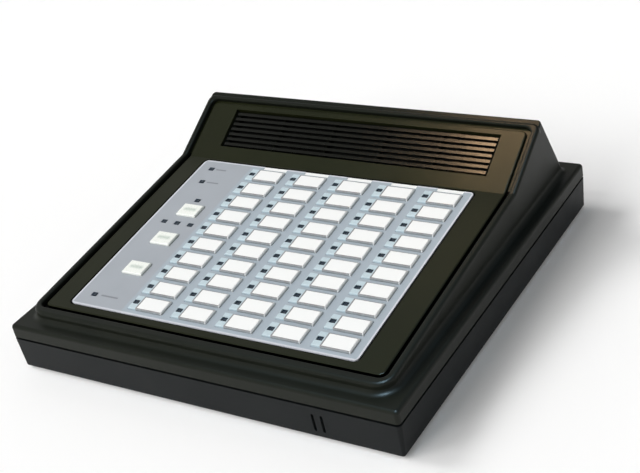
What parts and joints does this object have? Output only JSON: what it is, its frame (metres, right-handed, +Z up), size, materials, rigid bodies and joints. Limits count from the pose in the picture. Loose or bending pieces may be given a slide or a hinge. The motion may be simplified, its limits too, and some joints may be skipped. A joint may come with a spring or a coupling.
{
  "type": "desk intercom",
  "caption": "Desk intercom station with a sloping keypad of station keys, label windows and lamps, three function keys, and a louvred speaker hood behind.",
  "frame": {"origin": "on the desk under the middle of the case, at the underside of the feet", "axes": "+X to the user's right, +Y to the rear where the speaker hood stands, +Z up"},
  "size_m": [0.23, 0.2244, 0.0686],
  "materials": {
    "case_plastic": "satin moulded, fine grain",
    "panel_plastic": "satin moulded, fine grain",
    "grille_plastic": "satin moulded",
    "overlay_film": "satin printed film",
    "label_card": "smooth card",
    "key_plastic": "semi-gloss, ice blue",
    "function_key_plastic": "semi-gloss, pale green-white",
    "lamp_lens": "gloss, unlit",
    "mat_rubber": "moulded",
    "foot_rubber": "moulded",
    "board_laminate": "solder-masked laminate",
    "screw_steel": "zinc plated",
    "speaker_cloth": "woven acoustic cloth",
    "gasket_foam": "closed-cell foam",
    "speaker_steel": "black lacquered pressing",
    "speaker_paper": "treated cone paper",
    "magnet_ferrite": "ferrite and plated pole pieces",
    "transformer_steel": "varnished laminations",
    "chip_epoxy": "moulded epoxy",
    "capacitor_can": "sleeved can",
    "connector_plastic": "moulded",
    "ribbon_vinyl": "flat vinyl cable",
    "capsule_aluminium": "drawn can"
  },
  "bodies": {
    "housing": {"audio_transformer": "transformer_steel", "board_chips": "chip_epoxy", "case_screws": "screw_steel", "column_tabs": "label_card", "face_panel": "panel_plastic", "filter_capacitors": "capacitor_can", "grille_cloth": "speaker_cloth", "key_board": "board_laminate", "key_board_screws": "screw_steel", "key_dome_mat": "mat_rubber", "keypad_overlay": "overlay_film", "line_jack": "connector_plastic", "logic_board": "board_laminate", "logic_board_screws": "screw_steel", "lower_case": "case_plastic", "microphone_boot": "mat_rubber", "microphone_capsule": "capsule_aluminium", "ribbon_cable": "ribbon_vinyl", "ribbon_headers": "connector_plastic", "rubber_feet": "foot_rubber", "speaker_cone": "speaker_paper", "speaker_frame": "speaker_steel", "speaker_gasket": "gasket_foam", "speaker_grille": "grille_plastic", "speaker_magnet": "magnet_ferrite", "speaker_screws": "screw_steel", "station_lamps": "lamp_lens", "status_lamps": "lamp_lens", "upper_case": "case_plastic"},
    "station_bank_1": {"station_keys_1": "key_plastic", "station_labels_1": "label_card"},
    "station_bank_2": {"station_keys_2": "key_plastic", "station_labels_2": "label_card"},
    "station_bank_3": {"station_keys_3": "key_plastic", "station_labels_3": "label_card"},
    "station_bank_4": {"station_keys_4": "key_plastic", "station_labels_4": "label_card"},
    "station_bank_5": {"station_keys_5": "key_plastic", "station_labels_5": "label_card"},
    "function_button_1": {"function_key_1": "function_key_plastic"},
    "function_button_2": {"function_key_2": "function_key_plastic"},
    "function_button_3": {"function_key_3": "function_key_plastic"}
  },
  "joints": [
    {"name": "station_press_1", "type": "slide", "parent": "housing", "child": "station_bank_1", "axis": [0, 0.0958, -0.9954], "range_m": [0, 0.001], "stiffness_N_per_m": 500, "springref_m": -0.001},
    {"name": "station_press_2", "type": "slide", "parent": "housing", "child": "station_bank_2", "axis": [0, 0.0958, -0.9954], "range_m": [0, 0.001], "stiffness_N_per_m": 500, "springref_m": -0.001},
    {"name": "station_press_3", "type": "slide", "parent": "housing", "child": "station_bank_3", "axis": [0, 0.0958, -0.9954], "range_m": [0, 0.001], "stiffness_N_per_m": 500, "springref_m": -0.001},
    {"name": "station_press_4", "type": "slide", "parent": "housing", "child": "station_bank_4", "axis": [0, 0.0958, -0.9954], "range_m": [0, 0.001], "stiffness_N_per_m": 500, "springref_m": -0.001},
    {"name": "station_press_5", "type": "slide", "parent": "housing", "child": "station_bank_5", "axis": [0, 0.0958, -0.9954], "range_m": [0, 0.001], "stiffness_N_per_m": 500, "springref_m": -0.001},
    {"name": "function_press_1", "type": "slide", "parent": "housing", "child": "function_button_1", "axis": [0, 0.0958, -0.9954], "range_m": [0, 0.001], "stiffness_N_per_m": 300, "springref_m": -0.001},
    {"name": "function_press_2", "type": "slide", "parent": "housing", "child": "function_button_2", "axis": [0, 0.0958, -0.9954], "range_m": [0, 0.001], "stiffness_N_per_m": 300, "springref_m": -0.001},
    {"name": "function_press_3", "type": "slide", "parent": "housing", "child": "function_button_3", "axis": [0, 0.0958, -0.9954], "range_m": [0, 0.001], "stiffness_N_per_m": 300, "springref_m": -0.001}
  ]
}
